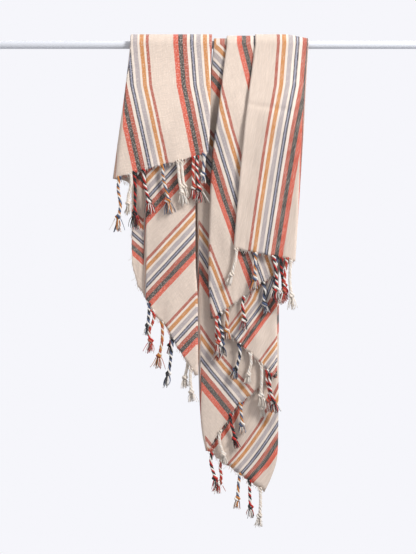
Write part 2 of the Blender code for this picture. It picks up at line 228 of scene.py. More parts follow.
@dataclass
class Tail:
    """One tail of the towel, in front of the rod: its fold lines, hems, stripes and creases.

    Fold lines, spans and hems are in millimetres, as in the solids, and other sizes in metres.
    The first line and the last are the cloth's edges, and those between are its folds. A lay
    belongs to a pleat and a side of its step, 0 inner and 1 outer. A span is where a pleat holds
    up those in front of it on the rod. A hem that isn't straight has rows of (share of the
    pleat's width, across, drop).
    """

    lines: list[FoldLine]
    lays: dict[tuple[int, int], StripeLay]
    spans: Rows
    hems: dict[int, Rows] = field(default_factory=dict)
    creases: tuple[Crease, ...] = ()
    stepped: bool = False
    # How the pleats lie on the rod, and part from one another below it, as in the solids.
    cloth: float = 0.0016
    rod_gap: float = 0.0012
    rod_pitch: float = 0.0027
    spread_drop: float = 0.180
    rest_reach: float = 0.060
    # Depths of the soft waves, the fine rumples and the curl of the hem.
    wave: float = 0.0016
    rumple: float = 0.0007
    curl: float = 0.0010
    # Share of the tail's length in which the curl and the scallops fade, and a scallop's size.
    curl_reach: float = 0.07
    scallop: float = 0.0035
    scallop_width: float = 0.024
    # The set-back step: its place and width across, the drops between which it grows, its depth.
    step_across: float = -0.125
    step_width: float = 0.005
    step_drops: tuple[float, float] = (0.150, 0.240)
    step_depth: float = 0.0080

    def level(self, pleat: int, across: np.ndarray) -> np.ndarray:
        """How many pleats lie under this one on the rod.

        Args:
            pleat: the pleat's number, 0 in front.
            across: metres to the right of the cloth's middle.

        Returns:
            The number at each place, which passes evenly from one whole number to the next.
        """
        under = np.zeros_like(across)
        for low, high in self.spans[pleat + 1 :]:
            outside = np.maximum(np.maximum(low * MM - across, across - high * MM), 0.0)
            under = under + 1.0 - smooth(outside / self.rest_reach)
        return under

    def depth(self, pleat: int, across: np.ndarray, drop: np.ndarray, gap: float) -> np.ndarray:
        """Distance of a pleat's middle from the plane of the rod's axis.

        Args:
            pleat: the pleat's number, 0 in front.
            across: metres to the right of the cloth's middle.
            drop: metres below the rod's axis.
            gap: the room from one pleat to the next, well below the rod.

        Returns:
            The distance in metres.
        """
        spread = smooth(drop / self.spread_drop)
        level = mix(self.level(pleat, across), PLEATS - 1.0 - pleat, spread)
        base = ROD_RADIUS + self.rod_gap + self.cloth / 2
        return base + level * mix(self.rod_pitch, gap, spread)

    def hem(self, pleat: int, share: float) -> np.ndarray:
        """A point of a pleat's hem.

        Args:
            pleat: the pleat's number, 0 in front.
            share: the share of the pleat's width.

        Returns:
            The point's across and drop.
        """
        if pleat not in self.hems:
            return mix(self.lines[pleat].at(1.0), self.lines[pleat + 1].at(1.0), share)
        rows = np.array(self.hems[pleat], float)
        return np.array([np.interp(share, rows[:, 0], rows[:, axis]) for axis in (1, 2)]) * MM

    def hem_width(self, pleat: int) -> float:
        """The straight distance from one end of a pleat's hem to the other."""
        return float(np.linalg.norm(self.hem(pleat, 1.0) - self.hem(pleat, 0.0)))

    def near_hem(self, fall: np.ndarray) -> np.ndarray:
        """1 at the hem, and less and less above it."""
        return np.exp(-(((1.0 - fall) / self.curl_reach) ** 2))

    def place(self, pleat: int, share: float, fall: np.ndarray) -> np.ndarray:
        """Where a pleat's points hang.

        Args:
            pleat: the pleat's number, 0 in front.
            share: the share of the pleat's width.
            fall: how far down the tail each point is, from 0 at the rod to 1 at the hem.

        Returns:
            Each point's across and drop.
        """
        left, right = (self.lines[pleat + side].at(fall) for side in (0, 1))
        ends = [self.lines[pleat + side].at(1.0) for side in (0, 1)]
        sag = self.hem(pleat, share) - mix(ends[0], ends[1], share)
        flat = mix(left, right, share) + sag * fall[..., None]
        scallops = self.hem_width(pleat) / self.scallop_width
        lift = self.scallop * abs(math.sin(math.pi * share * scallops))
        flat[..., 1] -= lift * self.near_hem(fall)
        return flat

    def relief(
        self, pleat: int, share: float, fall: np.ndarray, across: np.ndarray, drop: np.ndarray
    ) -> np.ndarray:
        """How far the cloth lies out of its smooth folds.

        Args:
            pleat: the pleat's number, 0 in front.
            share: the share of the pleat's width.
            fall: how far down the tail each point is, from 0 to 1.
            across: metres to the right of the cloth's middle.
            drop: metres below the rod's axis.

        Returns:
            The sum of waves, rumples, the curl of the hem, the creases and a stepped tail's step.
        """
        hang = smooth(drop / self.spread_drop)
        out = np.zeros_like(drop)
        for depth, (first, second) in ((self.wave, SOFT_WAVES), (self.rumple, FINE_RUMPLES)):
            out = out + first.at(across, drop, pleat) * second.at(across, drop, pleat) * depth
        curl = sum(size * math.sin(share * turn + pleat * step) for size, turn, step in HEM_CURLS)
        out = out + self.curl * curl * self.near_hem(fall)
        for crease in self.creases:
            if crease.pleat == pleat:
                out = out + crease.rise(across, drop)
        out = out * hang
        if self.stepped and pleat == STEP_PLEAT:
            top, full = self.step_drops
            back = (1.0 - self.past_step(across)) * smooth((drop - top) / (full - top))
            out = out - back * self.step_depth
        return out

    def past_step(self, across: np.ndarray) -> np.ndarray:
        """0 on the outer side of the step and 1 on its inner side."""
        return smooth((across - self.step_across) / self.step_width + 0.5)

    def phase(self, pleat: int, across: np.ndarray, drop: np.ndarray) -> np.ndarray:
        """The stripe phase of a pleat's points.

        Args:
            pleat: the pleat's number, 0 in front.
            across: metres to the right of the cloth's middle.
            drop: metres below the rod's axis.

        Returns:
            The phase, which changes at the step where the pleat has one.
        """
        inner = self.lays[(pleat, 0)].phase(across, drop)
        if (pleat, 1) not in self.lays:
            return inner
        outer = self.lays[(pleat, 1)].phase(across, drop)
        return mix(outer, inner, self.past_step(across))


# The left tail: a front pleat, and behind it a larger one whose outer part is set back.
LEFT = Tail(
    lines=[
        FoldLine(((8, 0), (6, 30), (4, 170), (0, 222))),
        FoldLine(((-154, 0), (-166, 110), (-177, 190), (-188, 270))),
        FoldLine(((-10, 0), (-18, 90), (-25, 170), (-25, 240), (-25, 440), (-21, 500), (-20, 660))),
        FoldLine(((-142, 0), (-128, 170), (-118, 320), (-112, 480))),
        FoldLine(((-18, 0), (-28, 100), (-36, 260), (-50, 440))),
        FoldLine(((-136, 0), (-124, 170), (-108, 320), (-96, 420))),
    ],
    hems={
        1: (
            (0.00, -188, 270), (0.10, -156, 280), (0.22, -154, 370), (0.32, -152, 440),
            (0.40, -140, 484), (0.46, -121, 512), (0.58, -104, 544), (0.71, -82, 564),
            (0.85, -58, 606), (1.00, -20, 660),
        ),
    },
    lays={
        (0, 0): StripeLay((
            (-20, 10, -0.030, -150, 1.235), (84, 10, 0.030, -150, 1.310),
            (170, 4, 0.215, -172, 1.645),
        )),
        (1, 0): StripeLay(((354, -122, 3.572, -22, 4.200), (526, -122, 4.572, -22, 5.200))),
        (1, 1): StripeLay(((330, -154, 3.023, -124, 2.843), (480, -154, 4.023, -124, 3.843))),
        (2, 0): StripeLay(((354, -24, 4.187, -122, 4.800), (526, -24, 5.187, -122, 5.800))),
        (3, 0): StripeLay(((354, -122, 4.800, -36, 5.340), (526, -122, 5.800, -36, 6.340))),
        (4, 0): StripeLay(((354, -36, 5.340, -96, 5.700), (526, -36, 6.340, -96, 6.700))),
    },
    spans=((-154, 8),) * PLEATS,
    creases=(
        Crease(0, (-100, 40), (-118, 250), 12, 1.6),
        Crease(0, (-20, 60), (-40, 210), 9, -1.3),
        Crease(1, (-100, 380), (-40, 300), 14, 1.5),
        Crease(1, (-96, 500), (-36, 440), 16, -1.4),
    ),
    stepped=True,
)

# The right tail, whose hem runs in a zigzag through all five pleats.
RIGHT = Tail(
    lines=[
        FoldLine(((94, 0), (72, 170), (50, 410))),
        FoldLine(((200, 0), (189, 170), (172, 434))),
        FoldLine(((38, 0), (18, 150), (8, 230), (2, 390), (2, 480), (6, 549))),
        FoldLine(((150, 0), (146, 200), (138, 440), (137, 666))),
        FoldLine((
            (12, 0), (2, 90), (-10, 170), (-21, 240), (-22, 400), (-18, 670), (-12, 770), (-4, 812),
        )),
        FoldLine(((144, 0), (142, 300), (140, 780), (137, 830), (124, 870), (112, 894))),
    ],
    hems={
        3: ((0.00, 137, 666), (2 / 7, 98, 690), (4 / 7, 54, 727), (1.00, -4, 812)),
    },
    lays={
        (0, 0): StripeLay((
            (-6, 141, 0.023, 193.4, 0.429), (84, 134, 0.023, 186, 0.436),
            (170, 118, 0.023, 170, 0.447), (420, 81, 0.023, 144, 0.572),
        )),
        (1, 0): StripeLay((
            (-18, 57.4, 0.572, 90, 0.317), (170, 47.4, 1.023, 10.8, 1.317),
            (310, 53.6, 1.317, 22.6, 1.572), (420, 61, 1.572, 10, 2.023),
            (520, 97, 1.572, 16, 2.317),
        )),
        (2, 0): StripeLay((
            (0, 38, 0.900, 150, 1.900), (510, 81.2, 3.023, 141.2, 3.572),
            (600, 14.6, 3.023, 75.4, 3.572),
        )),
        (3, 0): StripeLay((
            (0, 10, 2.110, 36, 1.980), (80, 7, 2.572, 34, 2.400), (270, -16, 3.572, 2, 3.470),
            (467, -16, 4.572, 0, 4.430), (677, -16, 5.572, 40, 5.240), (746, 40, 5.572, -4, 5.830),
        )),
        (4, 0): StripeLay((
            (0, 12, 2.300, 144, 3.400), (752, 50, 5.572, 106, 6.023), (802, 12, 5.572, 71, 6.023),
            (842, 36, 6.023, 116.4, 6.572), (876, 9.2, 6.023, 84, 6.572),
        )),
    },
    spans=((94, 200), (38, 200), (38, 150), (12, 150), (12, 150)),
    creases=(
        Crease(0, (66, 120), (190, 140), 4.5, -2.6),
        Crease(0, (120, 60), (96, 380), 16, 1.6),
        Crease(0, (168, 150), (150, 400), 12, -1.3),
        Crease(1, (40, 90), (66, 330), 10, -1.4),
        Crease(1, (20, 330), (52, 480), 12, 1.5),
        Crease(2, (60, 540), (118, 600), 12, 1.4),
        Crease(3, (10, 620), (70, 700), 12, -1.4),
        Crease(4, (30, 800), (110, 740), 12, 1.5),
    ),
)

# Fold lines of the swag behind the rod, from the left tail to the right.
SWAG_LINES = [
    FoldLine(((8, 0), (4, 150), (8, 290), (28, 350), (54, 310), (76, 180), (94, 0))),
    FoldLine((
        (-154, 0), (-148, 210), (-130, 360), (-80, 450), (0, 478), (78, 450), (134, 360),
        (166, 210), (200, 0),
    )),
    FoldLine(((-10, 0), (-8, 110), (0, 210), (12, 245), (24, 205), (32, 105), (38, 0))),
    FoldLine(((-142, 0), (-132, 190), (-100, 310), (0, 380), (90, 320), (132, 190), (150, 0))),
    FoldLine(((-18, 0), (-14, 70), (-6, 115), (-1, 125), (4, 115), (9, 70), (12, 0))),
    FoldLine(((-136, 0), (-122, 130), (-86, 210), (0, 250), (80, 210), (116, 130), (144, 0))),
]


class Stage(Enum):
    """The three hanging stretches of the towel's way from its first hem to its second."""

    LEFT = "left"
    SWAG = "swag"
    RIGHT = "right"


class Part(Enum):
    """What a column of the sheet runs along."""

    PLEAT = "pleat"
    FOLD = "fold"


TAILS = {Stage.LEFT: LEFT, Stage.RIGHT: RIGHT}


@dataclass(frozen=True)
class Column:
    """One column of the sheet: a pleat or the fold before it, and the share of its width."""

    part: Part
    number: int
    share: float


@dataclass
class Drape:
    """The middle of the towel's sheet, in all its folds.

    The gaps are the room between pleats in front of the rod and behind it. The swag's depth passes
    from the left tail's to the right's between two shares of its way, and the fold draw is the
    power with which a pleat's columns draw in towards its folds.
    """

    front_gap: float = 0.009
    back_gap: float = 0.0045
    swag_turn: tuple[float, float] = (0.3, 0.7)
    fold_draw: int = 4

    def pleat(self, stage: Stage, pleat: int, share: float, part: np.ndarray) -> Points:
        """Points of a pleat, before its folds draw it in.

        Args:
            stage: the stretch of the towel's way.
            pleat: the pleat's number, 0 in front.
            share: the share of the pleat's width.
            part: how far along the stretch each point is.

        Returns:
            The points' across, distance out and drop.
        """
        if stage in TAILS:
            tail = TAILS[stage]
            across, drop = np.moveaxis(tail.place(pleat, share, part), -1, 0)
            depth = tail.depth(pleat, across, drop, self.front_gap)
            return across, depth + tail.relief(pleat, share, part, across, drop), drop
        ends = [SWAG_LINES[pleat + side].at(part) for side in (0, 1)]
        across, drop = np.moveaxis(mix(ends[0], ends[1], share), -1, 0)
        left, right = (tail.depth(pleat, across, drop, self.back_gap) for tail in (LEFT, RIGHT))
        start, end = self.swag_turn
        return across, mix(left, right, smooth((part - start) / (end - start))), drop

    def outward(self, stage: Stage, fold: int, part: np.ndarray) -> np.ndarray:
        """The direction in which a fold bulges.

        Args:
            stage: the stretch of the towel's way.
            fold: the fold line's number.
            part: how far along the stretch each point is.

        Returns:
            The unit direction (across, drop) at each point, square to the fold's line.
        """
        lines = TAILS[stage].lines if stage in TAILS else SWAG_LINES
        along = lines[fold].heading(part)
        turn = 1.0 if fold % 2 else -1.0
        if stage is not Stage.RIGHT:
            turn = -turn
        return np.stack([along[..., 1], -along[..., 0]], -1) * turn

    def points(self, stage: Stage, column: Column, part: np.ndarray) -> Points:
        """Points of one column of the sheet.

        Args:
            stage: the stretch of the towel's way.
            column: which column.
            part: how far along the stretch each point is.

        Returns:
            The points' across, distance out and drop.
        """
        number, share = column.number, column.share
        if column.part is Part.PLEAT:
            across, out, drop = self.pleat(stage, number, share, part)
            for fold, near in ((number, 1.0 - share), (number + 1, share)):
                if 1 <= fold <= PLEATS - 1:
                    inset = self.half_gap(stage, fold, part) * near**self.fold_draw
                    away = self.outward(stage, fold, part)
                    across, drop = across - away[..., 0] * inset, drop - away[..., 1] * inset
            return across, out, drop
        front = self.pleat(stage, number - 1, 1.0, part)
        back = self.pleat(stage, number, 0.0, part)
        half = (front[1] - back[1]) / 2
        turn = math.pi * share
        away = self.outward(stage, number, part) * (half * math.sin(turn) - half)[..., None]
        across = (front[0] + back[0]) / 2 + away[..., 0]
        drop = (front[2] + back[2]) / 2 + away[..., 1]
        return across, (front[1] + back[1]) / 2 + half * math.cos(turn), drop

    def half_gap(self, stage: Stage, fold: int, part: np.ndarray) -> np.ndarray:
        """Half the room between the two pleats that meet in a fold."""
        front = self.pleat(stage, fold - 1, 1.0, part)[1]
        return (front - self.pleat(stage, fold, 0.0, part)[1]) / 2

    def phase(
        self, stage: Stage, column: Column, across: np.ndarray, drop: np.ndarray
    ) -> np.ndarray:
        """The stripe phase along a column of a tail.

        Args:
            stage: which of the two tails.
            column: which column.
            across: metres to the right of the cloth's middle.
            drop: metres below the rod's axis.

        Returns:
            The phase, which turns evenly from one pleat's to the next's through a fold.
        """
        tail = TAILS[stage]
        back = tail.phase(column.number, across, drop)
        if column.part is Part.PLEAT:
            return back
        return mix(tail.phase(column.number - 1, across, drop), back, column.share)

    def world(self, points: Points, front: bool) -> np.ndarray:
        """Points in front of the rod or behind it, in the frame of the solids."""
        across, out, drop = points
        return np.stack([CLOTH_MIDDLE + across, -out if front else out, -drop], -1)


def linear(value: str) -> tuple[float, float, float, float]:
    """Turns a colour to linear, by the curve that the sRGB standard defines.

    Args:
        value: the sRGB hex value, such as "d86450".

    Returns:
        Linear red, green and blue, and an alpha of 1.
    """
    parts = [int(value[place : place + 2], 16) / 255 for place in (0, 2, 4)]
    low = [part / 12.92 if part <= 0.04045 else ((part + 0.055) / 1.055) ** 2.4 for part in parts]
    return (low[0], low[1], low[2], 1.0)


Feed = dict[str | int, bpy.types.Node | bpy.types.NodeSocket | float | tuple[float, ...]]


def feed(tree: bpy.types.NodeTree, node: bpy.types.Node, links: Feed) -> None:
    """Links or sets the inputs of a node.

    Args:
        tree: the node tree.
        node: the node.
        links: for each input, by name or number, another node whose first output it takes, an
            output socket or a plain value.
    """
    for name, value in links.items():
        if isinstance(value, bpy.types.Node):
            value = value.outputs[0]
        if isinstance(value, bpy.types.NodeSocket):
            tree.links.new(value, node.inputs[name])
        else:
            node.inputs[name].default_value = value


def add_node(
    tree: bpy.types.NodeTree, kind: str, links: Feed | None = None, **settings: object
) -> bpy.types.Node:
    """Adds a node with its settings and links.

    Args:
        tree: the node tree.
        kind: the node's type name.
        links: what feeds each of its inputs.
        settings: the node's own properties.

    Returns:
        The new node.
    """
    node = tree.nodes.new(kind)
    for name, value in settings.items():
        setattr(node, name, value)
    feed(tree, node, links or {})
    return node


def blank_material(name: str) -> tuple[bpy.types.Material, bpy.types.NodeTree, bpy.types.Node]:
    """Makes a new material.

    Args:
        name: the material's name.

    Returns:
        The material, its node tree and its main shader.
    """
    material = bpy.data.materials.new(name)
    material.use_nodes = True
    return material, material.node_tree, material.node_tree.nodes["Principled BSDF"]


@dataclass(frozen=True)
class StripedCotton:
    """Hand-loomed cotton, plain woven, with dyed warp stripes crossed by an undyed weft.

    To the eye it is dry and matt, with a faint bloom at its edges. The weft shows through every
    stripe as a fine pale speckle, and uneven yarn gives faint streaks both ways.
    """

    name: str = "cotton_plain_weave_striped"
    weft: str = "dccfc4"
    # Each stripe's start and its warp's colour. A repeat has 129 parts, of just under 1 mm each.
    repeat_parts: float = 129.0
    stripes: tuple[tuple[float, str], ...] = (
        (0.0, "9c4430"), (6.0, "d4c6b9"), (10.4, "b5732e"), (18.6, "d4c6b9"), (23.0, "9d9393"),
        (32.0, "d4c6b9"), (36.8, "262839"), (39.6, "7c7f93"), (42.2, "262839"), (45.0, "d4c6b9"),
        (51.0, "a03f28"), (59.6, "1d1a18"), (68.6, "bf4224"), (79.0, "c8b6a7"),
    )
    # A stripe's edge wanders by up to this much, in waves of this size.
    wander_mm: float = 1.2
    wander_size_mm: float = 45.4545
    # Real threads lie 0.6 mm apart, which is too fine to show: the weave is drawn coarser.
    thread_mm: float = 1.6
    weft_share: float = 0.16
    # Flecks are thick places of single weft threads, across and along the cloth. They are drawn
    # coarser than their 0.6 mm too.
    fleck_mm: tuple[float, float] = (3.33333, 2.32558)
    fleck_edges: tuple[float, float] = (0.50, 0.68)
    fleck_share: float = 0.42
    # Streaks of uneven warp and of uneven weft, across and along the cloth: 2 mm, or about three
    # threads, by 3 cm.
    streak_mm: tuple[tuple[float, float], ...] = ((2.17391, 33.3333), (29.4118, 2.38095))
    streak: float = 0.17
    streak_height: float = 0.8
    bump_mm: float = 0.45
    bump_strength: float = 0.6
    roughness: float = 0.88
    sheen: float = 0.15
    specular: float = 0.25

    def build(self) -> bpy.types.Material:
        """Makes the material.

        Returns:
            The material, which reads the cloth's own UVs, in metres.
        """
        material, tree, shader = blank_material(self.name)
        place = add_node(tree, "ShaderNodeUVMap", uv_map="cloth")
        axes = add_node(tree, "ShaderNodeSeparateXYZ", {0: place})
        weave = self._weave(tree, axes)
        streaks = self._streaks(tree, axes)
        flecks = self._flecks(tree, axes)
        shown = add_node(
            tree, "ShaderNodeMath", {0: weave, 1: self.weft_share, 2: flecks},
            operation="MULTIPLY_ADD",
        )
        warp = self._warp_stripes(tree, place, axes)
        woven = add_node(
            tree, "ShaderNodeMix", {0: shown, 6: warp, 7: linear(self.weft)}, data_type="RGBA"
        )
        worn = add_node(
            tree, "ShaderNodeHueSaturation", {"Color": woven.outputs[2], "Value": streaks}
        )
        height = add_node(
            tree, "ShaderNodeMath", {0: streaks, 1: self.streak_height, 2: weave},
            operation="MULTIPLY_ADD",
        )
        relief = {"Height": height, "Distance": self.bump_mm * MM, "Strength": self.bump_strength}
        feed(tree, shader, {
            "Base Color": worn,
            "Normal": add_node(tree, "ShaderNodeBump", relief),
            "Roughness": self.roughness,
            "Sheen Weight": self.sheen,
            "Specular IOR Level": self.specular,
        })
        return material

    def _warp_stripes(
        self, tree: bpy.types.NodeTree, place: bpy.types.Node, axes: bpy.types.Node
    ) -> bpy.types.Node:
        """The warp's colours, in bands of their own widths whose edges wander a little.

        Args:
            tree: the material's node tree.
            place: the node that gives the UVs.
            axes: the node that splits them, across and along the cloth.

        Returns:
            The colour ramp.
        """
        wander = add_node(tree, "ShaderNodeTexNoise", {
            "Vector": place, "Scale": 1.0 / (self.wander_size_mm * MM), "Detail": 2.0,
        })
        shifted = add_node(
            tree, "ShaderNodeMath", {0: wander, 1: self.wander_mm * MM, 2: axes.outputs[0]},
            operation="MULTIPLY_ADD",
        )
        repeats = add_node(
            tree, "ShaderNodeMath", {0: shifted, 1: STRIPE_REPEAT}, operation="DIVIDE"
        )
        share = add_node(tree, "ShaderNodeMath", {0: repeats}, operation="FRACT")
        ramp = add_node(tree, "ShaderNodeValToRGB", {0: share})
        bands = ramp.color_ramp
        bands.interpolation = "CONSTANT"
        while len(bands.elements) > 1:
            bands.elements.remove(bands.elements[-1])
        for number, (start, colour) in enumerate(self.stripes):
            position = start / self.repeat_parts
            band = bands.elements.new(position) if number else bands.elements[0]
            band.position = position
            band.color = linear(colour)
        return ramp

    def _weave(self, tree: bpy.types.NodeTree, axes: bpy.types.Node) -> bpy.types.Node:
        """The plain weave, one thread over and one under.

        Args:
            tree: the material's node tree.
            axes: the node that gives metres across and along the cloth.

        Returns:
            The node that gives 1 where the weft lies on top and 0 where the warp does.
        """
        waves = []
        for axis in (0, 1):
            turn = {0: axes.outputs[axis], 1: math.pi / (self.thread_mm * MM)}
            turned = add_node(tree, "ShaderNodeMath", turn, operation="MULTIPLY")
            waves.append(add_node(tree, "ShaderNodeMath", {0: turned}, operation="SINE"))
        both = add_node(tree, "ShaderNodeMath", dict(enumerate(waves)), operation="MULTIPLY")
        return add_node(
            tree, "ShaderNodeMath", {0: both, 1: 0.5, 2: 0.5}, operation="MULTIPLY_ADD"
        )

    def _flecks(self, tree: bpy.types.NodeTree, axes: bpy.types.Node) -> bpy.types.Node:
        """Short flecks where thick places of the undyed weft cover the dyed warp.

        Args:
            tree: the material's node tree.
            axes: the node that gives metres across and along the cloth.

        Returns:
            The node that gives the weft's share of each fleck.
        """
        noise = self._unevenness(tree, axes, self.fleck_mm, 2.0)
        low, high = self.fleck_edges
        cut = add_node(tree, "ShaderNodeMapRange", {0: noise, 1: low, 2: high})
        return add_node(
            tree, "ShaderNodeMath", {0: cut, 1: self.fleck_share}, operation="MULTIPLY"
        )

    def _streaks(self, tree: bpy.types.NodeTree, axes: bpy.types.Node) -> bpy.types.Node:
        """Long streaks of uneven yarn, along the warp and along the weft.

        Args:
            tree: the material's node tree.
            axes: the node that gives metres across and along the cloth.

        Returns:
            The node that gives a brightness near 1.
        """
        found = [self._unevenness(tree, axes, sizes, 3.0) for sizes in self.streak_mm]
        both = add_node(tree, "ShaderNodeMath", dict(enumerate(found)), operation="ADD")
        swing = self.streak * 2
        return add_node(
            tree, "ShaderNodeMath", {0: both, 1: swing, 2: 1.0 - swing}, operation="MULTIPLY_ADD"
        )

    @staticmethod
    def _unevenness(
        tree: bpy.types.NodeTree, axes: bpy.types.Node, sizes: tuple[float, float], detail: float
    ) -> bpy.types.Node:
        """Noise that is stretched along the threads.

        Args:
            tree: the material's node tree.
            axes: the node that gives metres across and along the cloth.
            sizes: millimetres across and along the cloth from one feature to the next.
            detail: how many finer layers the noise has.

        Returns:
            The noise.
        """
        scaled = []
        for axis, size in enumerate(sizes):
            factors = {0: axes.outputs[axis], 1: 1.0 / (size * MM)}
            scaled.append(add_node(tree, "ShaderNodeMath", factors, operation="MULTIPLY"))
        spot = add_node(tree, "ShaderNodeCombineXYZ", dict(enumerate(scaled)))
        return add_node(
            tree, "ShaderNodeTexNoise", {"Vector": spot, "Scale": 1.0, "Detail": detail}
        )


@dataclass(frozen=True)
class TwistedYarn:
    """Dyed cotton yarn, plied and twisted by hand.

    To the eye it is soft and fully matt, with darker specks where the light falls in between its
    fibres.
    """

    colour: str
    # Real fibres are 0.02 mm thick, which is too fine to show: small bundles of them are drawn.
    fibre_mm: float = 0.7
    shade: float = 0.72
    shade_edges: tuple[float, float] = (0.3, 0.62)
    bump_mm: float = 0.3
    bump_strength: float = 0.5
    roughness: float = 0.92
    sheen: float = 0.2

    def build(self, name: str) -> bpy.types.Material:
        """Makes the yarn's material.

        Args:
            name: the material's name.

        Returns:
            The material.
        """
        material, tree, shader = blank_material(name)
        place = add_node(tree, "ShaderNodeTexCoord")
        fibres = add_node(tree, "ShaderNodeTexNoise", {
            "Vector": place.outputs["Object"], "Scale": 1.0 / (self.fibre_mm * MM), "Detail": 3.0,
        })
        lit = linear(self.colour)
        shaded = (*[part * self.shade for part in lit[:3]], 1.0)
        ramp = add_node(tree, "ShaderNodeValToRGB", {0: fibres})
        stops = zip(ramp.color_ramp.elements, self.shade_edges, (shaded, lit))
        for stop, position, colour in stops:
            stop.position = position
            stop.color = colour
        relief = {"Height": fibres, "Distance": self.bump_mm * MM, "Strength": self.bump_strength}
        feed(tree, shader, {
            "Base Color": ramp,
            "Normal": add_node(tree, "ShaderNodeBump", relief),
            "Roughness": self.roughness,
            "Sheen Weight": self.sheen,
        })
        return material


@dataclass(frozen=True)
class PaintedSteel:
    """Drawn steel tube with a sprayed satin white coat.

    To the eye it is smooth, with one soft highlight along the tube that a very fine orange peel
    breaks up slightly.
    """

    name: str = "steel_painted_satin_white"
    colour: str = "c9cbd0"
    peel_mm: float = 1.2
    peel_depth_mm: float = 0.04
    peel_strength: float = 0.4
    glossiest: float = 0.26
    dullest: float = 0.40

    def build(self) -> bpy.types.Material:
        """Makes the paint's material.

        Returns:
            The material.
        """
        material, tree, shader = blank_material(self.name)
        place = add_node(tree, "ShaderNodeTexCoord")
        peel = add_node(tree, "ShaderNodeTexNoise", {
            "Vector": place.outputs["Object"], "Scale": 1.0 / (self.peel_mm * MM), "Detail": 2.0,
        })
        gloss = {0: peel, 3: self.glossiest, 4: self.dullest}
        relief = {
            "Height": peel, "Distance": self.peel_depth_mm * MM, "Strength": self.peel_strength
        }
        feed(tree, shader, {
            "Base Color": linear(self.colour),
            "Normal": add_node(tree, "ShaderNodeBump", relief),
            "Roughness": add_node(tree, "ShaderNodeMapRange", gloss),
        })
        return material


@dataclass(frozen=True)
class MattPaint:
    """Rolled matt wall paint, which shows the eye soft shadows and no gloss."""

    name: str = "floor_matt_white"
    colour: str = "b4b6bb"
    roughness: float = 0.8

    def build(self) -> bpy.types.Material:
        """Makes the paint's material.

        Returns:
            The material.
        """
        material, tree, shader = blank_material(self.name)
        feed(tree, shader, {"Base Color": linear(self.colour), "Roughness": self.roughness})
        return material


class Yarn(Enum):
    """The dyed yarns of the fringe."""

    CREAM = "ddd0c2"
    WHITE = "e4ddd4"
    RED = "b8241a"
    BLACK = "1e1c1c"
    OCHRE = "bd7630"
    BLUE = "4b5672"
    RUST = "a8523c"


class Blend(Enum):
    """The yarns that are twisted together in one strand of the fringe."""

    CREAM = (Yarn.CREAM, Yarn.CREAM, Yarn.WHITE)
    EMBER = (Yarn.BLACK, Yarn.RED, Yarn.WHITE)
    NIGHT = (Yarn.BLACK, Yarn.RED, Yarn.BLACK)
    HARBOUR = (Yarn.BLUE, Yarn.BLACK, Yarn.WHITE)
    SAND = (Yarn.OCHRE, Yarn.BLUE, Yarn.WHITE)
    BRICK = (Yarn.RED, Yarn.WHITE, Yarn.RUST)
    SMOKE = (Yarn.WHITE, Yarn.BLUE, Yarn.CREAM)
    HONEY = (Yarn.OCHRE, Yarn.CREAM, Yarn.RUST)


@dataclass(frozen=True)
class Lock:
    """One strand: its pleat, share of its width, tip's sway and length in mm, and yarns."""

    pleat: int
    share: float
    sway: float
    length: float
    blend: Blend


# The strands of each fringe, from the front pleat to the back.
LEFT_LOCKS = (
    Lock(0, 0.04, -4, 58, Blend.SMOKE), Lock(0, 0.11, 3, 92, Blend.EMBER),
    Lock(0, 0.15, 2, 84, Blend.BRICK), Lock(0, 0.28, 8, 74, Blend.CREAM),
    Lock(0, 0.32, 14, 90, Blend.CREAM), Lock(0, 0.47, 12, 98, Blend.SAND),
    Lock(0, 0.68, 14, 88, Blend.EMBER), Lock(0, 0.79, 4, 112, Blend.NIGHT),
    Lock(0, 0.835, -4, 82, Blend.CREAM), Lock(0, 0.96, -4, 108, Blend.SAND),
    Lock(1, 0.49, -4, 62, Blend.HARBOUR), Lock(1, 0.54, -9, 84, Blend.BRICK),
    Lock(1, 0.66, -11, 92, Blend.HONEY), Lock(1, 0.79, -15, 94, Blend.HARBOUR),
    Lock(1, 0.96, 1, 66, Blend.CREAM), Lock(2, 0.25, 2, 70, Blend.CREAM),
    Lock(2, 0.60, -2, 68, Blend.EMBER), Lock(3, 0.36, 3, 60, Blend.SAND),
    Lock(4, 0.58, 2, 60, Blend.CREAM),
)
RIGHT_LOCKS = (
    Lock(0, 0.05, -18, 72, Blend.CREAM), Lock(0, 0.36, -3, 72, Blend.SAND),
    Lock(0, 0.66, 11, 92, Blend.EMBER), Lock(0, 0.72, -5, 84, Blend.HARBOUR),
    Lock(0, 0.79, 7, 74, Blend.NIGHT), Lock(0, 0.88, -12, 90, Blend.BRICK),
    Lock(0, 0.95, 4, 96, Blend.CREAM), Lock(1, 0.16, 12, 62, Blend.EMBER),
    Lock(1, 0.38, 10, 60, Blend.HARBOUR), Lock(1, 0.61, -4, 66, Blend.EMBER),
    Lock(1, 0.83, 3, 58, Blend.HONEY), Lock(1, 0.91, 5, 86, Blend.HARBOUR),
    Lock(1, 0.95, 3, 72, Blend.BRICK), Lock(2, 0.07, -4, 76, Blend.BRICK),
    Lock(2, 0.42, -9, 70, Blend.HARBOUR), Lock(2, 0.60, -4, 60, Blend.CREAM),
    Lock(2, 0.77, 3, 88, Blend.CREAM), Lock(2, 0.88, 4, 84, Blend.BRICK),
    Lock(2, 0.93, 10, 78, Blend.EMBER), Lock(3, 0.21, 4, 62, Blend.CREAM),
    Lock(3, 0.50, 5, 60, Blend.SAND), Lock(3, 0.64, 12, 68, Blend.NIGHT),
    Lock(3, 0.80, 6, 68, Blend.CREAM), Lock(4, 0.08, 6, 72, Blend.EMBER),
    Lock(4, 0.26, -9, 66, Blend.BRICK), Lock(4, 0.58, -10, 70, Blend.SAND),
    Lock(4, 0.75, 3, 74, Blend.EMBER), Lock(4, 0.93, -2, 78, Blend.CREAM),
)


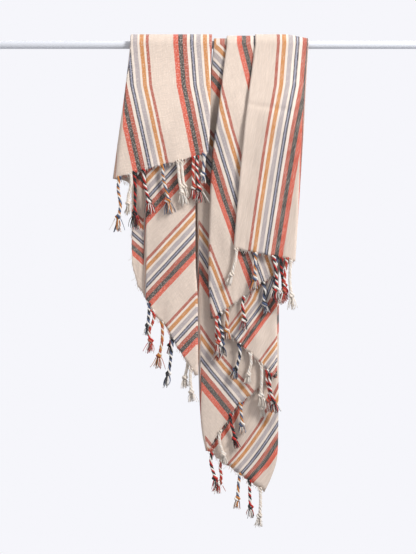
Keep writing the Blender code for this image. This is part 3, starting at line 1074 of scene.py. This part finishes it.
def place_mesh(name: str, points: np.ndarray, faces: list[tuple[int, ...]]) -> bpy.types.Object:
    """Makes a smooth-shaded mesh object and links it to the scene.

    Args:
        name: the object's name.
        points: its points in the frame of the solids.
        faces: its faces, as numbers of points.

    Returns:
        The object.
    """
    mesh = bpy.data.meshes.new(name)
    mesh.from_pydata(np.asarray(points).tolist(), [], faces)
    mesh.shade_smooth()
    piece = bpy.data.objects.new(name, mesh)
    bpy.context.scene.collection.objects.link(piece)
    return piece


@dataclass
class TowelCloth:
    """The towel's sheet: one thin closed cloth on the folds of its solid, with its stripes.

    Each pleat has stretches of even columns: the share at which a stretch ends, and how many
    columns it has. Rows crowd towards the rod on the tails, and a little on the swag.
    """

    drape: Drape
    thick: float = 0.0011
    pleat_cells: tuple[tuple[tuple[float, int], ...], ...] = (
        ((1.0, 30),), ((0.32, 9), (0.48, 22), (1.0, 17)), ((1.0, 20),), ((1.0, 28),), ((1.0, 24),),
    )
    fold_cells: int = 6
    tail_rows: int = 96
    rod_rows: int = 14
    swag_rows: int = 36
    tail_crowding: float = 1.25
    swag_crowding: float = 0.5

    def columns(self) -> list[Column]:
        """Lays out the columns of the sheet.

        Returns:
            Every column, across all pleats and folds.
        """
        found = []
        for pleat, stretches in enumerate(self.pleat_cells):
            shares = [0.0]
            for end, cells in stretches:
                start = shares[-1]
                shares += [mix(start, end, (step + 1) / cells) for step in range(cells)]
            found += [Column(Part.PLEAT, pleat, share) for share in shares]
            if pleat < PLEATS - 1:
                turns = range(1, self.fold_cells)
                found += [Column(Part.FOLD, pleat + 1, step / self.fold_cells) for step in turns]
        return found

    def column(self, column: Column) -> tuple[np.ndarray, np.ndarray]:
        """One column from the first hem to the second.

        Args:
            column: which column.

        Returns:
            Its points in the frame of the solids, and the stripe phase of each.
        """
        ways = np.arange(1, self.swag_rows) / self.swag_rows
        ways = mix(ways, smooth(ways), self.swag_crowding)
        swag = self.drape.world(self.drape.points(Stage.SWAG, column, ways), False)
        left, left_phase = self._tail_column(Stage.LEFT, column)
        right, right_phase = self._tail_column(Stage.RIGHT, column)
        swag_phase = mix(left_phase[0], right_phase[0], smooth(ways))
        points = np.concatenate([left[::-1], swag, right])
        return points, np.concatenate([left_phase[::-1], swag_phase, right_phase])

    def _tail_column(self, stage: Stage, column: Column) -> tuple[np.ndarray, np.ndarray]:
        """One column from behind the rod, over it and down a tail to its hem.

        Args:
            stage: which of the two tails.
            column: which column.

        Returns:
            Its points in the frame of the solids, and the stripe phase of each.
        """
        top = self.drape.points(stage, column, np.zeros(1))
        top_phase = self.drape.phase(stage, column, top[0], top[2])
        turns = np.linspace(0.0, math.pi, self.rod_rows + 1)[::-1]
        over = np.stack([
            np.full_like(turns, CLOTH_MIDDLE + top[0][0]),
            -top[1][0] * np.cos(turns),
            top[1][0] * np.sin(turns),
        ], -1)
        falls = (np.arange(1, self.tail_rows + 1) / self.tail_rows) ** self.tail_crowding
        hanging = self.drape.points(stage, column, falls)
        phase = self.drape.phase(stage, column, hanging[0], hanging[2])
        points = np.concatenate([over, self.drape.world(hanging, True)])
        return points, np.concatenate([np.full(len(turns), top_phase[0]), phase])

    def build(self, finish: bpy.types.Material) -> bpy.types.Object:
        """Builds the sheet and gives it its UVs and finish.

        Args:
            finish: the striped cotton.

        Returns:
            The cloth.
        """
        found = [self.column(column) for column in self.columns()]
        grid = np.array([points for points, _ in found]).transpose(1, 0, 2)
        phase = np.array([phases for _, phases in found]).T
        steps = np.linalg.norm(np.diff(grid, axis=0), axis=2)
        length = np.concatenate([np.zeros((1, grid.shape[1])), np.cumsum(steps, axis=0)])
        piece = self._closed(grid, phase * STRIPE_REPEAT, length)
        piece.data.materials.append(finish)
        return piece

    def _closed(self, grid: np.ndarray, u: np.ndarray, v: np.ndarray) -> bpy.types.Object:
        """Closes the grid into a thin cloth.

        Args:
            grid: the middle of the cloth, by row and column.
            u: metres across the flat cloth, by row and column.
            v: metres along the flat cloth, by row and column.

        Returns:
            The cloth, with a UV map in metres.
        """
        rows, columns = grid.shape[:2]
        normals = unit(np.cross(np.gradient(grid, axis=1), np.gradient(grid, axis=0)))
        shift = normals * self.thick / 2
        points = np.concatenate([(grid + shift).reshape(-1, 3), (grid - shift).reshape(-1, 3)])
        back = rows * columns
        corner = (np.arange(rows - 1)[:, None] * columns + np.arange(columns - 1)[None, :]).ravel()
        quads = np.stack([corner, corner + 1, corner + columns + 1, corner + columns], -1)
        rim = [*range(columns), *(row * columns + columns - 1 for row in range(1, rows))]
        rim += [(rows - 1) * columns + column for column in range(columns - 2, -1, -1)]
        rim += [row * columns for row in range(rows - 2, 0, -1)]
        here, there = np.array(rim), np.array(rim[1:] + rim[:1])
        edge = np.stack([there, here, back + here, back + there], -1)
        faces = np.concatenate([quads, back + quads[:, ::-1], edge])
        piece = place_mesh("towel_cloth", points, faces.tolist())
        layer = piece.data.uv_layers.new(name="cloth")
        flat = np.stack([np.tile(u.ravel(), 2), np.tile(v.ravel(), 2)], -1)
        layer.data.foreach_set("uv", flat[faces.ravel()].ravel())
        return piece


@dataclass(frozen=True)
class Twist:
    """How a strand's plies wind round its middle line, in metres and radians.

    The slack makes the winding run ahead and fall behind along the strand. A strand starts a
    little inside the hem, where its plies stand further apart.
    """

    ply_radius: float = 0.0017
    ply_sides: int = 5
    radius: float = 0.0018
    pitch: float = 0.016
    rings_a_turn: int = 9
    fewest_rings: int = 12
    slack: float = 1.1
    slack_pitch: float = 0.0075
    root_inset: float = 0.0015
    root_swell: float = 0.8
    root_reach: float = 0.004


@dataclass(frozen=True)
class Knot:
    """A strand's knot: its place, its reach up and down, and how far it and its plies swell.

    The plies end at a share of the strand's length, and the knot's middle is a rise above that.
    """

    share: float = 0.76
    rise: float = 0.004
    reach: float = 0.0028
    swell: float = 1.7
    ply_swell: float = 0.5


@dataclass(frozen=True)
class Brush:
    """The loose ends below a knot: how far they lean and bow, for their length, and their sizes.

    The brush is flatter from front to back than from side to side, and leans by a share of the
    strand's sway. Its ends differ in length and start at places spread over the knot.
    """

    ends: int = 30
    rings: int = 6
    sides: int = 3
    lean: float = 0.16
    lean_power: float = 0.9
    bow: float = 0.07
    flatness: float = 0.5
    sway_share: float = 0.25
    lengths: tuple[float, float] = (0.65, 1.08)
    spread: float = 0.012
    spread_flatness: float = 0.6
    radii: tuple[float, float] = (0.00095, 0.0006)


@dataclass(frozen=True)
class Fray:
    """The short loose threads that stand out of a hem, one at each step along it.

    A thread starts a little inside the hem and follows the cloth's own way on past it, as found
    from a probe's share of the tail's length, but leans to the side and out by chance.
    """

    step: float = 0.0035
    jitter: tuple[float, float] = (0.2, 0.8)
    edge_shares: tuple[float, float] = (0.01, 0.99)
    probe: float = 0.985
    length: float = 0.008
    lengths: tuple[float, float] = (0.5, 1.0)
    inset: float = 0.15
    lean: float = 0.35
    lean_out: float = 0.25
    rings: int = 4
    sides: int = 3
    radii: tuple[float, float] = (0.0006, 0.00035)
    yarns: tuple[Yarn, ...] = (Yarn.CREAM, Yarn.CREAM, Yarn.WHITE, Yarn.RUST)


@dataclass
class KnottedFringe:
    """One end's fringe: strands of twisted yarn, each knotted near its tip, with loose ends below.

    A strand's sway grows by a power of the way down. It curls to the side by up to the curl, and
    out by up to a share of it, in a number of half turns that differs by up to one.
    """

    name: str
    stage: Stage
    drape: Drape
    locks: tuple[Lock, ...]
    seed: int
    twist: Twist = Twist()
    knot: Knot = Knot()
    brush: Brush = Brush()
    fray: Fray = Fray()
    sway_power: float = 1.5
    curl: float = 0.0036
    curl_out: float = 0.3
    curl_turns: float = 2.0
    _points: list[np.ndarray] = field(default_factory=list, init=False)
    _faces: list[tuple[int, ...]] = field(default_factory=list, init=False)
    _yarns: list[Yarn] = field(default_factory=list, init=False)

    def build(self, finishes: dict[Yarn, bpy.types.Material]) -> bpy.types.Object:
        """Builds every strand and frayed thread as one piece.

        Args:
            finishes: the material of each yarn.

        Returns:
            The fringe.
        """
        draw = np.random.default_rng(self.seed)
        for lock in self.locks:
            self._strand(lock, draw)
        for pleat in range(PLEATS):
            self._frayed_hem(pleat, draw)
        piece = place_mesh(self.name, np.concatenate(self._points), self._faces)
        for finish in finishes.values():
            piece.data.materials.append(finish)
        order = list(finishes)
        slots = [order.index(yarn) for yarn in self._yarns]
        piece.data.polygons.foreach_set("material_index", slots)
        return piece

    def _frayed_hem(self, pleat: int, draw: np.random.Generator) -> None:
        """Adds the short loose threads that stand out of one pleat's hem.

        Args:
            pleat: the pleat's number, 0 in front.
            draw: the source of random numbers.
        """
        fray = self.fray
        count = int(TAILS[self.stage].hem_width(pleat) / fray.step)
        for place in range(count):
            share = float(np.clip((place + draw.uniform(*fray.jitter)) / count, *fray.edge_shares))
            column = Column(Part.PLEAT, pleat, share)
            ends = self.drape.points(self.stage, column, np.array([fray.probe, 1.0]))
            inner, hem = self.drape.world(ends, True)
            ahead = unit(hem - inner)
            side = np.cross(ahead, [0.0, 1.0, 0.0])
            falls = np.linspace(-fray.inset, 1.0, fray.rings)
            lean = draw.normal(0, fray.lean) * falls**2
            out = draw.normal(0, fray.lean_out) * falls**2
            line = falls[:, None] * ahead + lean[:, None] * side
            line[:, 1] += out
            line = hem + line * draw.uniform(*fray.lengths) * fray.length
            yarn = fray.yarns[int(draw.integers(len(fray.yarns)))]
            self._tube(line, np.linspace(*fray.radii, fray.rings), yarn, fray.sides)

    def _strand(self, lock: Lock, draw: np.random.Generator) -> None:
        """Adds one strand: its plies, which swell into a knot, and its loose ends.

        Args:
            lock: which strand.
            draw: the source of random numbers.
        """
        twist, knot = self.twist, self.knot
        column = Column(Part.PLEAT, lock.pleat, lock.share)
        root = self.drape.world(self.drape.points(self.stage, column, np.ones(1)), True)[0]
        reach = lock.length * MM * knot.share
        count = max(int(reach / twist.pitch * twist.rings_a_turn), twist.fewest_rings)
        start = draw.uniform(0, 2 * math.pi)
        curl = draw.uniform(-1, 1, 3) * np.array([self.curl, self.curl, 1.0])
        falls = np.linspace(-twist.root_inset, reach, count)
        near_knot = np.exp(-(((falls - reach + knot.rise) / knot.reach) ** 2))
        near_root = np.exp(-((falls / twist.root_reach) ** 2))
        radius = twist.radius * (1 + knot.swell * near_knot + twist.root_swell * near_root)
        thick = twist.ply_radius * (1 + knot.ply_swell * near_knot)
        middle = self._middle(root, lock, falls, curl)
        loose = twist.slack * np.sin(falls / twist.slack_pitch + start)
        for ply, yarn in enumerate(lock.blend.value):
            share = ply / len(lock.blend.value)
            turn = start + 2 * math.pi * (falls / twist.pitch + share) + loose
            wound = np.stack([np.cos(turn) * radius, np.sin(turn) * radius, 0 * turn], -1)
            self._tube(middle + wound, thick, yarn, twist.ply_sides)
        foot = self._middle(root, lock, np.array([reach]), curl)[0]
        self._brush_out(lock, foot, draw)

    def _brush_out(self, lock: Lock, foot: np.ndarray, draw: np.random.Generator) -> None:
        """Adds the loose ends of one strand.

        Args:
            lock: which strand.
            foot: the point that its plies end at.
            draw: the source of random numbers.
        """
        brush = self.brush
        length = lock.length * MM * (1.0 - self.knot.share)
        falls = np.linspace(0, 1, brush.rings)
        for end in range(brush.ends):
            yarn = lock.blend.value[end % len(lock.blend.value)]
            lean = draw.normal(0, brush.lean, 2)
            reach = length * draw.uniform(*brush.lengths)
            bow = draw.normal(0, brush.bow, 2)
            path = lean[:, None] * falls**brush.lean_power + bow[:, None] * np.sin(falls * math.pi)
            line = np.stack([path[0], path[1] * brush.flatness, -falls], -1) * reach
            line[:, 0] += lock.sway * MM * brush.sway_share * falls
            offset = np.array([lean[0], lean[1] * brush.spread_flatness, 0.0]) * brush.spread
            thick = np.linspace(*brush.radii, brush.rings)
            self._tube(foot + offset + line, thick, yarn, brush.sides)

    def _middle(
        self, root: np.ndarray, lock: Lock, falls: np.ndarray, curl: np.ndarray
    ) -> np.ndarray:
        """The middle line of a strand, which sways and curls a little as it falls.

        Args:
            root: the point of the hem that it hangs from.
            lock: which strand.
            falls: metres below the root.
            curl: its curl to the side and to the front, and what is added to its half turns.

        Returns:
            The line's points.
        """
        share = np.clip(falls / (lock.length * MM), 0.0, 1.0)
        bend = np.sin(share * math.pi * (self.curl_turns + curl[2]))
        x = root[0] + lock.sway * MM * share**self.sway_power + curl[0] * bend
        y = root[1] + curl[1] * self.curl_out * bend
        return np.stack([x, y, root[2] - falls], -1)

    def _tube(self, line: np.ndarray, thick: np.ndarray, yarn: Yarn, sides: int) -> None:
        """Adds a closed tube of one yarn.

        Args:
            line: the points of its middle.
            thick: its radius at each of them.
            yarn: its yarn.
            sides: how many sides it has.
        """
        ahead = unit(np.gradient(line, axis=0))
        over = unit(np.cross(ahead, [0.0, 1.0, 0.0]))
        up = np.cross(over, ahead)
        turns = (np.arange(sides) * 2 * math.pi / sides)[None, :, None]
        ring = over[:, None] * np.cos(turns) + up[:, None] * np.sin(turns)
        base = sum(len(block) for block in self._points)
        self._points.append((line[:, None] + ring * thick[:, None, None]).reshape(-1, 3))
        faces = []
        for row in range(len(line) - 1):
            first = base + row * sides
            for side in range(sides):
                here, there = first + side, first + (side + 1) % sides
                faces.append((here, there, there + sides, here + sides))
        last = base + (len(line) - 1) * sides
        faces.append(tuple(range(base + sides - 1, base - 1, -1)))
        faces.append(tuple(range(last, last + sides)))
        self._faces += faces
        self._yarns += [yarn] * len(faces)


@dataclass(frozen=True)
class Lamp:
    """A square soft lamp: its name, place, side in metres and power in watts."""

    name: str
    place: tuple[float, float, float]
    side: float
    power: float


@dataclass
class Studio:
    """A pale floor, soft lamps and a camera square to the rod.

    The height is that of the photograph's field at the rod. The room's light grows from its first
    to its second strength between two values of the direction's Y, so it is brighter behind.
    """

    height: float = 1.108
    middle: tuple[float, float] = (0.500, -0.464)
    distance: float = 3.4
    sensor: float = 36.0
    lamps: tuple[Lamp, ...] = (
        Lamp("key_lamp", (2.3, -1.6, 1.3), 0.7, 104.0),
        Lamp("fill_lamp", (-1.6, -2.6, 0.3), 2.2, 8.0),
        Lamp("top_lamp", (0.4, -0.4, 2.0), 1.2, 5.0),
        Lamp("back_lamp", (0.2, 2.4, 0.8), 2.0, 16.0),
    )
    room: str = "f6f6fb"
    room_turn: tuple[float, float] = (-0.9, 0.6)
    room_strength: tuple[float, float] = (0.55, 1.0)
    floor_drop: float = 1.35
    floor_reach: float = 1.1

    def build(self) -> None:
        """Adds the camera, the lamps, the room's light and the floor."""
        bpy.context.scene.view_settings.view_transform = "Standard"
        self._camera()
        for lamp in self.lamps:
            self._light(lamp)
        self._room()
        self._floor()

    def _room(self) -> None:
        """A pale room, brighter behind the towel than in front of it."""
        world = bpy.data.worlds.new("pale_room")
        world.use_nodes = True
        tree = world.node_tree
        place = add_node(tree, "ShaderNodeTexCoord")
        axes = add_node(tree, "ShaderNodeSeparateXYZ", {0: place.outputs["Generated"]})
        limits = {0: axes.outputs[1], **dict(enumerate(self.room_turn + self.room_strength, 1))}
        strength = add_node(tree, "ShaderNodeMapRange", limits)
        feed(tree, tree.nodes["Background"], {"Color": linear(self.room), "Strength": strength})
        bpy.context.scene.world = world

    def _camera(self) -> None:
        """A long lens, square to the rod, that frames the photograph's own field."""
        data = bpy.data.cameras.new("camera")
        data.sensor_width = self.sensor
        data.lens = self.sensor * self.distance / self.height
        camera = bpy.data.objects.new("camera", data)
        camera.location = (self.middle[0], -self.distance, self.middle[1])
        camera.rotation_euler = (math.pi / 2, 0.0, 0.0)
        bpy.context.scene.collection.objects.link(camera)
        bpy.context.scene.camera = camera

    def _light(self, lamp: Lamp) -> None:
        """Adds a lamp that points at the towel.

        Args:
            lamp: which lamp.
        """
        data = bpy.data.lights.new(lamp.name, "AREA")
        data.size = lamp.side
        data.energy = lamp.power
        light = bpy.data.objects.new(lamp.name, data)
        light.location = lamp.place
        aim = Vector((self.middle[0], 0.0, self.middle[1])) - Vector(lamp.place)
        light.rotation_euler = aim.to_track_quat("-Z", "Y").to_euler()
        bpy.context.scene.collection.objects.link(light)

    def _floor(self) -> None:
        """A plain pale floor below the towel."""
        reach = self.floor_reach
        points = [
            (self.middle[0] + x * reach, y * reach, -self.floor_drop)
            for x, y in ((-1, -1), (1, -1), (1, 1), (-1, 1))
        ]
        floor = place_mesh("floor", np.array(points), [(0, 1, 2, 3)])
        floor.data.materials.append(MattPaint().build())


@dataclass
class Rod:
    """The rod, which keeps its own solid and only gets its finish."""

    node: str = "rod"
    finish: PaintedSteel = PaintedSteel()

    def dress(self) -> None:
        """Puts the paint on the rod's solid and reports it."""
        paint = self.finish.build()
        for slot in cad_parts[self.node].material_slots:
            slot.material = paint
        LOG.info("%s: %s", self.node, paint.name)


def main() -> None:
    """Builds the studio, the cloth, the fringes and the rod's finish, and reports all but the
    studio.
    """
    logging.basicConfig(level=logging.INFO, format="%(name)s: %(message)s")
    Studio().build()
    drape = Drape()
    cloth = TowelCloth(drape).build(StripedCotton().build())
    finishes = {
        yarn: TwistedYarn(yarn.value).build("cotton_yarn_" + yarn.name.lower()) for yarn in Yarn
    }
    left, right = (
        KnottedFringe(name, stage, drape, locks, seed).build(finishes)
        for name, stage, locks, seed in (
            ("fringe_left_yarn", Stage.LEFT, LEFT_LOCKS, 11),
            ("fringe_right_yarn", Stage.RIGHT, RIGHT_LOCKS, 23),
        )
    )
    for piece, node, slot in (
        (cloth, "towel", "towel_cotton"),
        (left, "fringe_left", "fringe_cotton"),
        (right, "fringe_right", "fringe_cotton"),
    ):
        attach(piece, "root")
        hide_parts(node)
        LOG.info("%s: %d faces", piece.name, len(piece.data.polygons))
    Rod().dress()


if __name__ == "__main__":
    main()
